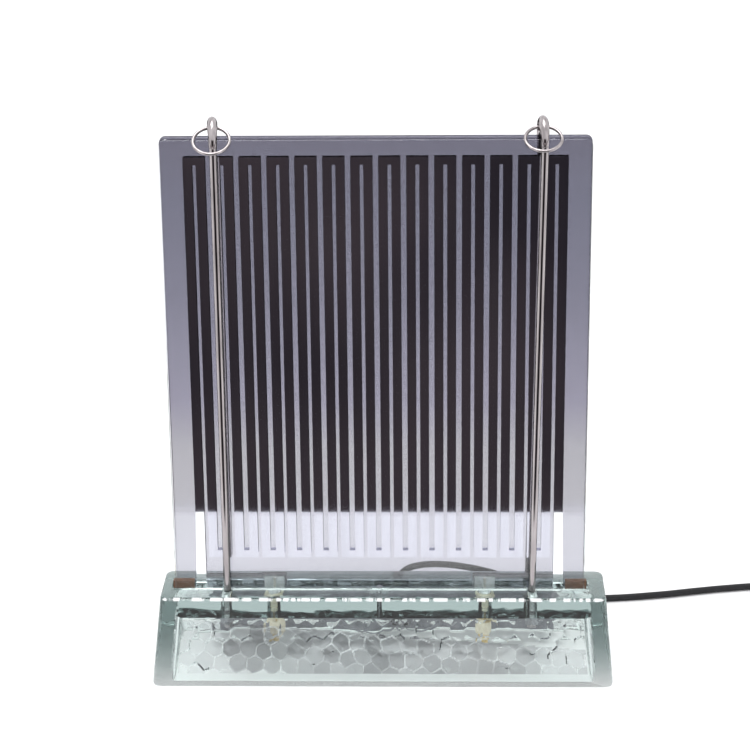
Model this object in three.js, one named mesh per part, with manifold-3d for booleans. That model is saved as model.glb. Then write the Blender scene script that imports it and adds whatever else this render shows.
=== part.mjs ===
// Electric table heater: two upright glass plates stand in a moulded, hollow glass base.
// Each plate carries a metal film that runs up and down as one long serpentine, and two
// stirrups of rod and bow hold the plates down. A carrying ring hangs from each bow.
// Millimetres, +Z up. The front faces -Y, and the origin is the bottom centre of the base.
import * as THREE from "three";
import { mergeVertices } from "three/addons/utils/BufferGeometryUtils.js";
import Module from "manifold-3d";

const wasm = await Module();
wasm.setup();

// ---------------------------------------------------------------- driving dimensions
const GAP = 0.3; // between pieces that touch

const BASE = {
  height: 59,
  bottomX: 169.8, // half length and half depth where it stands
  bottomY: 53,
  topX: 165,
  topY: 26,
  corner: 7, // radius of the upright corners
  bevel: 1,
  cavityTop: 41.5,
  wall: 11.5, // front and rear, measured level
  endWall: 14.2,
};
const SLOT = { floor: 54.3, halfDepth: 7.35, halfLength: 155.2 };

const MIDDLE = -2.7; // the plates stand this far off the base's centre
const PLATE = { halfWidth: 152.6, bottom: 54.9, top: 401, thick: 4, inner: 3, corner: 4.5 };

const FILM = {
  loops: 14,
  pitch: 19.68,
  strip: 6.5,
  loopWidth: 15.7,
  top: 387.5,
  bottom: 82.2,
  turn: 5.6, // height of the band where it turns
  thick: 0.3,
  tailTop: 113,
  tailFlare: 1.2, // the two ends spread outward by this
  tailBottom: 56,
};

const STIRRUP = {
  legY: 10.8,
  rodRadius: 2.65,
  bowCentre: 399.55, // height of the centre of the bow's bend
  bowApex: 416.1,
  bowInner: 404.6,
  bowLegEnd: 397,
  halfWidth: 3.75,
  legHalf: 2.9,
  eyeHeight: 408.4,
  eyeRadius: 2.3,
  twist: THREE.MathUtils.degToRad(5.3), // the rear legs stand a little to the left
  rodEnd: 30,
};
// Bow centres at the top, feet in the base, and how far each ring leans forward at rest.
const SIDES = [
  { side: "left", bowX: -116.8, footX: -116.8, lean: 57.4 },
  { side: "right", bowX: 114.85, footX: 109.7, lean: 61.5 },
];
const RING = { radius: 12.8, wire: 1.2 };

const TERMINAL = {
  offset: 78.6, // from the middle of the plates
  blockHalf: 7.4,
  blockHalfDepth: 2.6,
  blockTop: 66.5,
  strapBottom: 65.6,
  strapTop: 67.5,
};
const SPACER = { offset: 146.4, halfWidth: 7.9, top: 62.8 };

const CORD = { radius: 2.6, sides: 10 };
const GLAND = { x: 10, y: 42.93, z: 22, relief: 22 };
const COIL = { x: 338, y: 157.6, middle: 31, halfWidth: 5.5, height: 21.2 };
const PLUG = { x: 384, neck: 4.6, rim: 11, rimAt: 30, face: 32, pinOffset: 5.2 };

// ---------------------------------------------------------------- materials
const look = (color, roughness, metalness) =>
  new THREE.MeshStandardMaterial({ color, roughness, metalness });
const mouldedGlass = look(0xa9c3bd, 0.1, 0);
const plateGlass = look(0xb4b4c4, 0.05, 0);
const aluminiumFilm = look(0x77777c, 0.15, 1);
const chrome = look(0xd8d4d8, 0.12, 1);
const steel = look(0x8f9092, 0.4, 1);
const brownFibre = look(0x5c4034, 0.8, 0);
const steatite = look(0xd9cdb4, 0.5, 0);
const paleMica = look(0xcfdcdc, 0.3, 0);
const greyBoard = look(0x6f6f76, 0.9, 0);
const blackRubber = look(0x18181c, 0.6, 0);
const bakelite = look(0x16120f, 0.3, 0);
const cordRubber = look(0x1a1a1e, 0.45, 0);
const cotton = look(0x6f6f76, 0.9, 0);
const brass = look(0xb08d4a, 0.3, 1);

// ---------------------------------------------------------------- solids
const part = new THREE.Group();

function toManifold(geometry) {
  const bare = geometry.clone();
  bare.deleteAttribute("normal");
  bare.deleteAttribute("uv");
  const merged = mergeVertices(bare, 1e-4);
  return new wasm.Manifold(
    new wasm.Mesh({
      numProp: 3,
      vertProperties: Float32Array.from(merged.attributes.position.array),
      triVerts: Uint32Array.from(merged.index.array),
    }),
  );
}

function toGeometry(solid) {
  const { vertProperties, triVerts } = solid.getMesh();
  const geometry = new THREE.BufferGeometry();
  geometry.setAttribute("position", new THREE.BufferAttribute(vertProperties, 3));
  geometry.setIndex(new THREE.BufferAttribute(triVerts, 1));
  geometry.computeVertexNormals();
  return geometry;
}

function add(name, shape, material, parent = part) {
  const geometry = shape.isBufferGeometry ? shape : toGeometry(shape);
  const mesh = new THREE.Mesh(geometry, material.clone());
  mesh.name = name;
  parent.add(mesh);
  return mesh;
}

const cut = (body, ...tools) =>
  tools.reduce((left, tool) => left.subtract(toManifold(tool)), toManifold(body));

const join = (...bodies) =>
  bodies.slice(1).reduce((all, body) => all.add(toManifold(body)), toManifold(bodies[0]));

function box(x0, x1, y0, y1, z0, z1) {
  const geometry = new THREE.BoxGeometry(x1 - x0, y1 - y0, z1 - z0);
  return geometry.translate((x0 + x1) / 2, (y0 + y1) / 2, (z0 + z1) / 2);
}

function upright(radius, x, y, z0, z1, sides = 18) {
  const geometry = new THREE.CylinderGeometry(radius, radius, z1 - z0, sides);
  return geometry.rotateX(Math.PI / 2).translate(x, y, (z0 + z1) / 2);
}

// A straight round bar between two points.
function bar(from, to, radius, sides = 16) {
  const along = new THREE.Vector3().subVectors(to, from);
  const geometry = new THREE.CylinderGeometry(radius, radius, along.length(), sides);
  const up = new THREE.Vector3(0, 1, 0);
  geometry.applyQuaternion(new THREE.Quaternion().setFromUnitVectors(up, along.normalize()));
  const middle = new THREE.Vector3().addVectors(from, to).multiplyScalar(0.5);
  return geometry.translate(middle.x, middle.y, middle.z);
}

// A profile of [radius, height] pairs turned about Z.
function turned(profile, sides = 32) {
  const points = profile.map(([r, z]) => new THREE.Vector2(r, z));
  return new THREE.LatheGeometry(points, sides).rotateX(Math.PI / 2).rotateZ(Math.PI);
}

// A turned tube: outer steps upwards, then closed down the bore.
function sleeve(steps, bore, sides = 32) {
  const bottom = steps[0][1];
  const top = steps[steps.length - 1][1];
  return turned([[bore, bottom], ...steps, [bore, top], [bore, bottom]], sides);
}

// An outline in X and Z, given thickness in Y from y0 to y1.
function slab(outline, y0, y1, bevel = 0) {
  const geometry = new THREE.ExtrudeGeometry(outline, {
    depth: y1 - y0 - 2 * bevel,
    bevelEnabled: bevel > 0,
    bevelSize: bevel,
    bevelThickness: bevel,
    bevelOffset: -bevel,
    bevelSegments: 1,
    curveSegments: 6,
  });
  return geometry.rotateX(Math.PI / 2).translate(0, y1 - bevel, 0);
}

function polygon(points) {
  return new THREE.Shape(points.map(([x, y]) => new THREE.Vector2(x, y)));
}

// Points of a rectangle with round corners, counter-clockwise.
function roundedLoop(halfX, halfY, radius, z, steps = 5) {
  const loop = [];
  const corners = [[1, 1], [-1, 1], [-1, -1], [1, -1]];
  corners.forEach(([sx, sy], corner) => {
    for (let i = 0; i <= steps; i++) {
      const angle = (corner + i / steps) * (Math.PI / 2);
      const x = sx * (halfX - radius) + radius * Math.cos(angle);
      const y = sy * (halfY - radius) + radius * Math.sin(angle);
      loop.push(new THREE.Vector3(x, y, z));
    }
  });
  return loop;
}

// Skins convex loops of equal length, which follow each other, and closes both ends.
function loft(loops) {
  const count = loops[0].length;
  const positions = loops.flat().flatMap((p) => [p.x, p.y, p.z]);
  const faces = [];
  for (let level = 0; level < loops.length - 1; level++) {
    for (let i = 0; i < count; i++) {
      const a = level * count + i;
      const b = level * count + ((i + 1) % count);
      faces.push(a, b, b + count, a, b + count, a + count);
    }
  }
  const last = (loops.length - 1) * count;
  for (let i = 1; i < count - 1; i++) {
    faces.push(0, i + 1, i);
    faces.push(last, last + i, last + i + 1);
  }
  const geometry = new THREE.BufferGeometry();
  geometry.setAttribute("position", new THREE.Float32BufferAttribute(positions, 3));
  geometry.setIndex(faces);
  return geometry;
}

// A round tube along a curve.
function tube(points, radius, sides, steps) {
  const curve = new THREE.CatmullRomCurve3(points, false, "centripetal");
  const section = new THREE.Shape();
  for (let i = 0; i < sides; i++) {
    const angle = (2 * Math.PI * i) / sides;
    const x = radius * Math.cos(angle);
    const y = radius * Math.sin(angle);
    if (i === 0) {
      section.moveTo(x, y);
    } else {
      section.lineTo(x, y);
    }
  }
  return new THREE.ExtrudeGeometry(section, { steps, extrudePath: curve, bevelEnabled: false });
}

const hexNut = (across, bore, x, y, z0, z1) =>
  cut(upright(across / Math.sqrt(3), x, y, z0, z1, 6), upright(bore, x, y, z0 - 1, z1 + 1));

const vec = (x, y, z) => new THREE.Vector3(x, y, z);

// ---------------------------------------------------------------- glass base
const slope = (BASE.bottomY - BASE.topY) / BASE.height;
const glandAngle = Math.atan(slope); // the rear wall leans, and the gland is square to it
const glandAxis = vec(0, Math.cos(glandAngle), Math.sin(glandAngle));
const glandPoint = (along) => vec(GLAND.x, GLAND.y, GLAND.z).addScaledVector(glandAxis, along);

const terminals = [
  { side: "left", x: MIDDLE - TERMINAL.offset, inward: 1 },
  { side: "right", x: MIDDLE + TERMINAL.offset, inward: -1 },
];

// Where the four rods stand: front and rear of each side, shifted by the bows' twist.
const legs = SIDES.flatMap(({ side, bowX, footX }) =>
  [
    { end: "front", sign: -1 },
    { end: "rear", sign: 1 },
  ].map(({ end, sign }) => {
    const shift = -sign * STIRRUP.legY * Math.sin(STIRRUP.twist);
    const y = sign * STIRRUP.legY * Math.cos(STIRRUP.twist);
    return { side, end, topX: bowX + shift, footX: footX + shift, y };
  }),
);

// A rod leans evenly from its foot, at the top of the base, to its head.
const FOOT = 58.7;
const HEAD = 387;
const rodX = (leg, z) => leg.footX + ((leg.topX - leg.footX) * (z - FOOT)) / (HEAD - FOOT);

function glassBase() {
  const { height, bottomX, bottomY, topX, topY, corner, bevel, cavityTop, wall, endWall } = BASE;
  const outer = loft([
    roundedLoop(bottomX - bevel, bottomY - bevel, corner - bevel, 0),
    roundedLoop(bottomX - 0.1, bottomY - 0.4, corner, bevel),
    roundedLoop(topX + 0.1, topY + 0.4, corner, height - bevel),
    roundedLoop(topX - bevel, topY - bevel, corner - bevel, height),
  ]);
  const endSlope = (bottomX - topX) / height;
  const inside = (z) =>
    roundedLoop(bottomX - endWall - endSlope * z, bottomY - wall - slope * z, 4, z);
  const cavity = loft([inside(-2), inside(cavityTop)]);
  const slot = box(
    MIDDLE - SLOT.halfLength,
    MIDDLE + SLOT.halfLength,
    -SLOT.halfDepth,
    SLOT.halfDepth,
    SLOT.floor,
    height + 2,
  );
  const hole = (radius, x, y) => upright(radius, x, y, cavityTop - 2, height + 2);
  const rodHoles = legs.map((leg) => hole(3.8, rodX(leg, 50), leg.y));
  const terminalHoles = terminals.map(({ x }) => hole(5.1, x, 0));
  const glandHole = bar(glandPoint(-20), glandPoint(8), 4.6);
  return cut(outer, cavity, slot, ...rodHoles, ...terminalHoles, hole(1.9, MIDDLE, 0), glandHole);
}
add("glass_base", glassBase(), mouldedGlass);

// ---------------------------------------------------------------- plates and films
function plateOutline() {
  const { halfWidth, bottom, top, corner } = PLATE;
  const left = MIDDLE - halfWidth;
  const right = MIDDLE + halfWidth;
  const foot = 1.5;
  const shape = new THREE.Shape();
  shape.moveTo(left + foot, bottom);
  shape.lineTo(right - foot, bottom);
  shape.lineTo(right, bottom + foot);
  shape.lineTo(right, top - corner);
  shape.absarc(right - corner, top - corner, corner, 0, Math.PI / 2, false);
  shape.lineTo(left + corner, top);
  shape.absarc(left + corner, top - corner, corner, Math.PI / 2, Math.PI, false);
  shape.lineTo(left, bottom + foot);
  shape.closePath();
  return shape;
}

// One band of constant width: up, across, down and across, from the left end to the right.
function filmOutline() {
  const { loops, pitch, strip, loopWidth, top, bottom, turn, tailTop, tailFlare, tailBottom } = FILM;
  const first = MIDDLE - ((loops - 1) * pitch + loopWidth) / 2;
  const last = first + (loops - 1) * pitch + loopWidth;
  const tail = (outerX, inward) => [
    [outerX, tailTop],
    [outerX - inward * tailFlare, tailBottom],
    [outerX + inward * strip, tailBottom],
  ];
  const over = []; // the upper edge, left to right
  const under = []; // the lower edge, left to right
  for (let i = 0; i < loops; i++) {
    const x0 = first + i * pitch;
    const x1 = x0 + loopWidth;
    if (i > 0) {
      over.push([x0, bottom + turn]);
      under.push([x0 + strip, bottom]);
    }
    over.push([x0, top], [x1, top]);
    under.push([x0 + strip, top - turn], [x1 - strip, top - turn]);
    if (i < loops - 1) {
      over.push([x1, bottom + turn]);
      under.push([x1 - strip, bottom]);
    }
  }
  return polygon([...over, ...tail(last, -1), ...under.reverse(), ...tail(first, 1).reverse()]);
}

const { inner, thick } = PLATE;
add("front_plate", slab(plateOutline(), -inner - thick, -inner, 0.5), plateGlass);
add("rear_plate", slab(plateOutline(), inner, inner + thick, 0.5), plateGlass);
add("front_film", slab(filmOutline(), -inner + GAP, -inner + GAP + FILM.thick), aluminiumFilm);
add("rear_film", slab(filmOutline(), inner - GAP - FILM.thick, inner - GAP), aluminiumFilm);

// ---------------------------------------------------------------- between the plates
// Two fibre pieces hold the plates apart at the bottom corners.
[
  { side: "left", x: MIDDLE - SPACER.offset },
  { side: "right", x: MIDDLE + SPACER.offset },
].forEach(({ side, x }) => {
  const piece = box(
    x - SPACER.halfWidth,
    x + SPACER.halfWidth,
    -TERMINAL.blockHalfDepth,
    TERMINAL.blockHalfDepth,
    SLOT.floor + GAP,
    SPACER.top,
  );
  add(`corner_spacer_${side}`, piece, brownFibre);
});

// A contact strap runs level from the film's tail and steps over the terminal block.
function strapOutline(terminal) {
  const { blockHalf, blockTop, strapBottom, strapTop } = TERMINAL;
  const x = (fromTerminal) => terminal.x + terminal.inward * fromTerminal;
  const tailX = -(FILM.pitch * (FILM.loops - 1) + FILM.loopWidth) / 2 + TERMINAL.offset + 0.6;
  const step = blockHalf + GAP;
  const bridge = blockTop + GAP;
  const width = 1.4;
  return polygon([
    [x(tailX), strapBottom],
    [x(-step - 0.4), strapBottom],
    [x(-step), bridge],
    [x(step), bridge],
    [x(step), 59],
    [x(step + width), 59],
    [x(step + width), bridge + width],
    [x(-step - width), bridge + width],
    [x(-step - width - 1.2), strapTop],
    [x(tailX), strapTop],
  ]);
}

const BORE = 1.8; // every hole on the terminal bolts and the centre bolt
const SHANK = 1.5;
const LUG = { radius: 6, middle: 33.1 };

terminals.forEach((terminal) => {
  const { side, x } = terminal;
  const { blockHalf, blockHalfDepth, blockTop } = TERMINAL;
  const floor = SLOT.floor + GAP;
  const block = box(x - blockHalf, x + blockHalf, -blockHalfDepth, blockHalfDepth, floor, blockTop);
  add(`terminal_block_${side}`, cut(block, upright(BORE, x, 0, floor - 1, 65.2, 16)), paleMica);
  add(`strap_front_${side}`, slab(strapOutline(terminal), -2.1, -1.3), steel);
  add(`strap_rear_${side}`, slab(strapOutline(terminal), 1.3, 2.1), steel);

  const head = upright(6.4 / Math.sqrt(3), x, 0, 14.2, 17.4, 6);
  add(`terminal_bolt_${side}`, join(head, upright(SHANK, x, 0, 17, 64.7, 16)), brass);
  const place = (geometry) => geometry.translate(x, 0, 0);
  const bead = [[5.2, 17.8], [6.2, 19], [6.2, 31], [5.2, 32.2]];
  add(`ceramic_bead_${side}`, place(sleeve(bead, BORE, 18)), steatite);
  add(`terminal_lug_${side}`, place(sleeve([[LUG.radius, 32.6], [LUG.radius, 33.6]], BORE, 18)), brass);
  add(`terminal_nut_${side}`, hexNut(7, BORE, x, 0, 34, 38.2), brass);
  const bush = [[7, 38.6], [7, 41.2], [4.8, 41.2], [4.8, 45]];
  add(`ceramic_bush_${side}`, place(sleeve(bush, BORE, 18)), steatite);
});

// ---------------------------------------------------------------- inside the base
// A bolt through the middle of the base holds a bracket that steadies the lining board.
const BRACKET = { z0: 39.6, z1: 41.1, front: -6, rear: 17.4, halfWidth: 7 };
const boltHead = upright(2.4, MIDDLE, 0, SLOT.floor + GAP, SLOT.floor + 3.2, 20);
add("centre_bolt", join(boltHead, upright(SHANK, MIDDLE, 0, 33, SLOT.floor + 1, 16)), steel);
add("centre_nut", hexNut(6, BORE, MIDDLE, 0, 36.6, 39.2), steel);
const strip = box(
  MIDDLE - BRACKET.halfWidth,
  MIDDLE + BRACKET.halfWidth,
  BRACKET.front,
  BRACKET.rear,
  BRACKET.z0,
  BRACKET.z1,
);
add("board_bracket", cut(strip, upright(BORE, MIDDLE, 0, BRACKET.z0 - 1, BRACKET.z1 + 1, 16)), steel);

// A board lines the rear wall, and the cord's gland passes through it.
const innerFace = -BASE.wall * Math.cos(glandAngle); // along the gland's axis, from outside
function liningBoard() {
  const thickness = 1.2;
  const board = box(-130, 130, 0, thickness, -13.2, 24.5);
  board.rotateX(glandAngle);
  const corner = glandPoint(innerFace - GAP - thickness);
  board.translate(0, corner.y, corner.z);
  return cut(board, bar(glandPoint(-30), glandPoint(0), 4.9));
}
add("lining_board", liningBoard(), greyBoard);

// ---------------------------------------------------------------- rods
const rodPoint = (leg, z) => vec(rodX(leg, z), leg.y, z);
const { rodRadius, rodEnd, bowLegEnd } = STIRRUP;

legs.forEach((leg) => {
  const name = `${leg.end}_${leg.side}`;
  const shoulder = bowLegEnd - GAP;
  const shaft = bar(rodPoint(leg, rodEnd), rodPoint(leg, shoulder), rodRadius, 16);
  const spigot = bar(rodPoint(leg, shoulder - 2), rodPoint(leg, shoulder + 3), 1.6, 12);
  add(`rod_${name}`, join(shaft, spigot), chrome);

  const collar = (steps, bore, z) => sleeve(steps, bore, 18).translate(rodX(leg, z), leg.y, 0);
  add(`rod_bush_${name}`, collar([[3.5, 43.3], [3.5, 57.9]], 3, 50), paleMica);
  add(`rod_washer_${name}`, collar([[6, 39.3], [6, 41.2]], 3, 40), steel);
  add(`rod_nut_${name}`, hexNut(9, 3, rodX(leg, 36), leg.y, 33.5, 39), steel);
});

// ---------------------------------------------------------------- bows and rings
// A bow is a bend of oval section, thicker at its crown, with a hole through for the ring.
function bow(side) {
  const { legY, bowCentre, bowApex, bowInner, halfWidth, legHalf, eyeHeight, eyeRadius } = STIRRUP;
  const crownHalf = (bowApex - bowInner) / 2;
  const sides = 14;
  const steps = 16;
  const section = (y, z, phi, across, wide) => {
    const loop = [];
    for (let i = 0; i < sides; i++) {
      const angle = (2 * Math.PI * i) / sides;
      const out = across * Math.cos(angle);
      loop.push(vec(wide * Math.sin(angle), y - out * Math.cos(phi), z + out * Math.sin(phi)));
    }
    return loop;
  };
  const bend = Array.from({ length: steps + 1 }, (_, i) => {
    const phi = (Math.PI * i) / steps;
    const swell = Math.sin(phi) ** 2;
    const across = legHalf + (crownHalf - legHalf) * swell;
    const wide = legHalf + 0.1 + (halfWidth - legHalf - 0.1) * swell;
    return section(-legY * Math.cos(phi), bowCentre + legY * Math.sin(phi), phi, across, wide);
  });
  const frontLeg = section(-legY, bowLegEnd, 0, legHalf, legHalf);
  const rearLeg = section(legY, bowLegEnd, Math.PI, legHalf, legHalf);
  const eye = bar(vec(-10, 0, eyeHeight), vec(10, 0, eyeHeight), eyeRadius, 20);
  const socket = (y) => upright(1.9, 0, y, bowLegEnd - 2, bowLegEnd + 3.4, 16);
  const body = cut(loft([frontLeg, ...bend, rearLeg]), eye, socket(-legY), socket(legY));
  return toGeometry(body).rotateZ(STIRRUP.twist).translate(side.bowX, 0, 0);
}

SIDES.forEach((side) => {
  add(`bow_${side.side}`, bow(side), chrome);
  // The ring is drawn hanging, in its own frame at the hole, and then leans forward.
  const ring = new THREE.TorusGeometry(RING.radius, RING.wire, 8, 36);
  ring.rotateX(Math.PI / 2).translate(0, 0, -RING.radius);
  const mesh = add(`ring_${side.side}`, ring, chrome);
  mesh.position.set(side.bowX, 0, STIRRUP.eyeHeight);
  mesh.rotation.x = -THREE.MathUtils.degToRad(side.lean);
});

// ---------------------------------------------------------------- supply cord
const alongGland = (geometry) =>
  geometry
    .applyQuaternion(new THREE.Quaternion().setFromUnitVectors(vec(0, 0, 1), glandAxis))
    .translate(GLAND.x, GLAND.y, GLAND.z);
const nutTop = innerFace - 2 * GAP - 1.2;
const relief = [
  [4.2, nutTop - 4],
  [4.2, GAP],
  [7, GAP],
  [7, 2.2],
  [5.4, 3.4],
  [3.6, GLAND.relief],
];
add("strain_relief", alongGland(sleeve(relief, 2.9, 28)), blackRubber);
add("gland_nut", alongGland(toGeometry(hexNut(11, 4.5, 0, 0, nutTop - 3, nutTop))), steel);

// The cord stands up behind the base, comes down to the table and runs off to the right.
const cordRoute = [
  glandPoint(nutTop - 6),
  glandPoint(2),
  glandPoint(GLAND.relief - 4),
  glandPoint(GLAND.relief + 2),
  vec(12.1, 74.1, 34.6),
  vec(17.9, 81.7, 36.2),
  vec(26.3, 86.1, 36.9),
  vec(36, 88, 37),
  vec(48, 88.6, 36.4),
  vec(62, 89, 34.4),
  vec(78, 89.6, 30.6),
  vec(94, 90.6, 25),
  vec(110, 91.8, 18.4),
  vec(124, 93, 12.6),
  vec(138, 94.8, 7.8),
  vec(152, 96.7, 4.4),
  vec(169, 99, 2.9),
  vec(215, 105.6, 2.9),
  vec(247, 113.4, 2.9),
  vec(275, 119.6, 2.9),
  vec(300, 123.4, 2.9),
  vec(318, 124, 2.9),
];
add("cord_main", tube(cordRoute, CORD.radius, CORD.sides, 38), cordRubber);

// Inside the base its two wires part and go to the terminals.
terminals.forEach(({ side, x, inward }) => {
  const start = glandPoint(nutTop - 6.4);
  const wire = [
    start.clone().add(vec(-1.6 * inward, 0, 0)),
    glandPoint(nutTop - 12).add(vec(-2.4 * inward, 0, 0)),
    vec(start.x + (x - start.x) * 0.2, 17, 11),
    vec(start.x + (x - start.x) * 0.45, 20, 17),
    vec(start.x + (x - start.x) * 0.75, 16, 27),
    vec(x + 2.5 * inward, 13, 31.6),
    vec(x, LUG.radius + GAP, LUG.middle),
  ];
  add(`lead_${side}`, tube(wire, 1.2, 8, 20), cotton);
});

// The rest of the cord is wound into a coil, shown as one ring that holds all its turns.
function coilRing() {
  const inner = COIL.middle - COIL.halfWidth;
  const outer = COIL.middle + COIL.halfWidth;
  const round = 2;
  const profile = [
    [inner + round, 0.05],
    [outer - round, 0.05],
    [outer, round],
    [outer, COIL.height - round],
    [outer - round, COIL.height],
    [inner + round, COIL.height],
    [inner, COIL.height - round],
    [inner, round],
    [inner + round, 0.05],
  ];
  return turned(profile, 44).translate(COIL.x, COIL.y, 0);
}
add("cord_coil", coilRing(), cordRubber);

// The plug lies on its rim and its neck, so its axis climbs away from the cord.
const plugTilt = Math.asin((PLUG.rim - PLUG.neck) / PLUG.rimAt);
const plugAxis = vec(Math.cos(plugTilt), 0, Math.sin(plugTilt));
const plugStart = vec(PLUG.x, COIL.y - 33.6, PLUG.neck + 0.2);
const plugPoint = (along, aside = 0) =>
  plugStart.clone().addScaledVector(plugAxis, along).add(vec(0, aside, 0));
const alongPlug = (geometry) =>
  geometry
    .applyQuaternion(new THREE.Quaternion().setFromUnitVectors(vec(0, 0, 1), plugAxis))
    .translate(plugStart.x, plugStart.y, plugStart.z);

function plugBody() {
  const { neck, rim, rimAt, face } = PLUG;
  const waist = [[neck, 0.2], [neck + 0.6, 9], [7.2, 14], [9.2, 22]];
  const profile = [[0, 0.2], ...waist, [rim, rimAt], [rim - 1, face], [0, face]];
  const body = alongPlug(turned(profile, 24));
  const pinHole = (aside) => bar(plugPoint(face - 9, aside), plugPoint(face + 1, aside), 2.6, 16);
  const cordHole = bar(plugPoint(-1), plugPoint(9), 2.9, 20);
  return cut(body, pinHole(-PLUG.pinOffset), pinHole(PLUG.pinOffset), cordHole);
}
add("plug_body", plugBody(), bakelite);
[["front", -1], ["rear", 1]].forEach(([name, sign]) => {
  const aside = sign * PLUG.pinOffset;
  const pin = bar(plugPoint(PLUG.face - 8.6, aside), plugPoint(PLUG.face + 18, aside), 2.2, 14);
  add(`plug_pin_${name}`, pin, brass);
});

const tailRoute = [
  vec(COIL.x + 20, COIL.y - 33.6, 4.2),
  vec(COIL.x + 29, COIL.y - 33.6, 3.1),
  plugPoint(-3),
  plugPoint(8),
];
add("cord_tail", tube(tailRoute, CORD.radius, CORD.sides, 8), cordRubber);

export default part;
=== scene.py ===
# Electric glass table heater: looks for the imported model. Metres, +Z up, front to -Y.
import math

import bmesh
import bpy
import numpy as np
from mathutils import Matrix, Vector


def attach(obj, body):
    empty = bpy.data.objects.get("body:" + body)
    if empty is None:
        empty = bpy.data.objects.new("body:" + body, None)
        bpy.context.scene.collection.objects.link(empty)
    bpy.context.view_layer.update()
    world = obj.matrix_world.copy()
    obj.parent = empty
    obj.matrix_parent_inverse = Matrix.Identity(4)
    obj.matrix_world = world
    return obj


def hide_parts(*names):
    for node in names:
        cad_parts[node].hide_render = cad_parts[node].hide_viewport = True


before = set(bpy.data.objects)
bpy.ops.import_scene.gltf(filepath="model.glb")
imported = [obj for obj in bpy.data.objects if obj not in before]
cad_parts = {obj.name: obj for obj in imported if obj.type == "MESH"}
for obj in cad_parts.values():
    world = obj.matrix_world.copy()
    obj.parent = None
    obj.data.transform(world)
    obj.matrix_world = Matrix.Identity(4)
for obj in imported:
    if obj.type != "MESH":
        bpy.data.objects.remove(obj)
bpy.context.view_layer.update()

# ---------------------------------------------------------------- camera
CAMERA_PLACE = (0.0431, -1.61538, 0.78416)
CAMERA_YAW = 0.0294265  # turned to the left
CAMERA_PITCH = 0.3332205  # looking down
CAMERA_ROLL = -0.0104647
CAMERA_LENS = 113.19  # on a 36 mm sensor


def add_camera():
    yaw, pitch, roll = CAMERA_YAW, CAMERA_PITCH, CAMERA_ROLL
    ahead = Vector((-math.sin(yaw) * math.cos(pitch), math.cos(yaw) * math.cos(pitch), -math.sin(pitch)))
    level = Vector((math.cos(yaw), math.sin(yaw), 0))
    over = level.cross(ahead)
    right = level * math.cos(roll) + over * math.sin(roll)
    up = over * math.cos(roll) - level * math.sin(roll)
    camera = bpy.data.objects.new("camera", bpy.data.cameras.new("camera"))
    camera.data.lens = CAMERA_LENS
    camera.data.sensor_width = 36
    camera.data.clip_end = 50
    turn = Matrix((right, up, -ahead)).transposed().to_4x4()
    camera.matrix_world = Matrix.Translation(CAMERA_PLACE) @ turn
    bpy.context.collection.objects.link(camera)
    bpy.context.scene.camera = camera


add_camera()

# ---------------------------------------------------------------- dimensions from the part
BASE_HEIGHT = 0.059
BASE_BOTTOM = (0.1698, 0.053)  # half length and half depth
BASE_TOP = (0.165, 0.026)
BASE_CORNER = 0.007
CAVITY_TOP = 0.0415
WALL = 0.0115
END_WALL = 0.0142
SLOPE = (BASE_BOTTOM[1] - BASE_TOP[1]) / BASE_HEIGHT
END_SLOPE = (BASE_BOTTOM[0] - BASE_TOP[0]) / BASE_HEIGHT
SLOT_FLOOR = 0.0543
SLOT_HALF = (0.1552, 0.00735)
MIDDLE = -0.0027
TERMINAL_OFFSET = 0.0786

LEG_Y = 0.0108
TWIST = math.radians(5.3)
ROD_RADIUS = 0.00265
SIDES = {
    "left": {"bow": -0.1168, "foot": -0.1168, "lean": 57.4},
    "right": {"bow": 0.11485, "foot": 0.1097, "lean": 61.5},
}
BOW_CENTRE = 0.39955
BOW_LEG_END = 0.397
ROD_FOOT = 0.0587  # a rod's lean is measured between these two heights
ROD_HEAD = 0.387
ROD_END = 0.03
EYE_HEIGHT = 0.4084
EYE_RADIUS = 0.0023
RING_RADIUS = 0.0128
RING_WIRE = 0.0012

GLAND = Vector((0.010, 0.04293, 0.022))
GLAND_ANGLE = math.atan(SLOPE)
GLAND_AXIS = Vector((0, math.cos(GLAND_ANGLE), math.sin(GLAND_ANGLE)))
GLAND_INSIDE = -(WALL * math.cos(GLAND_ANGLE) + 0.0018)
RELIEF_END = 0.022

CORD_DIAMETER = 0.0052
COIL_CENTRE = (0.338, 0.1576)
COIL_OUTER = 0.0336
COIL_INNER = 0.0284
PLUG_START = Vector((0.384, 0.124, 0.0048))
PLUG_TILT = math.asin((0.011 - 0.0046) / 0.03)
PLUG_AXIS = Vector((math.cos(PLUG_TILT), 0, math.sin(PLUG_TILT)))


# ---------------------------------------------------------------- meshes
def make_object(name, points, faces, smooth_angle=30):
    mesh = bpy.data.meshes.new(name)
    mesh.from_pydata([tuple(p) for p in points], [], faces)
    mesh.validate()
    mesh.polygons.foreach_set("use_smooth", [True] * len(mesh.polygons))
    mesh.set_sharp_from_angle(angle=math.radians(smooth_angle))
    piece = bpy.data.objects.new(name, mesh)
    bpy.context.collection.objects.link(piece)
    return piece


def skin(loops, caps=True, wrap=False):
    """Points and faces of a skin over loops of equal length that follow each other."""
    count = len(loops[0])
    points = [p for loop in loops for p in loop]
    faces = []
    levels = len(loops) if wrap else len(loops) - 1
    for level in range(levels):
        here = level * count
        there = ((level + 1) % len(loops)) * count
        for i in range(count):
            j = (i + 1) % count
            faces.append((here + i, here + j, there + j, there + i))
    if caps and not wrap:
        faces.append(tuple(reversed(range(count))))
        last = (len(loops) - 1) * count
        faces.append(tuple(range(last, last + count)))
    return points, faces


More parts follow.
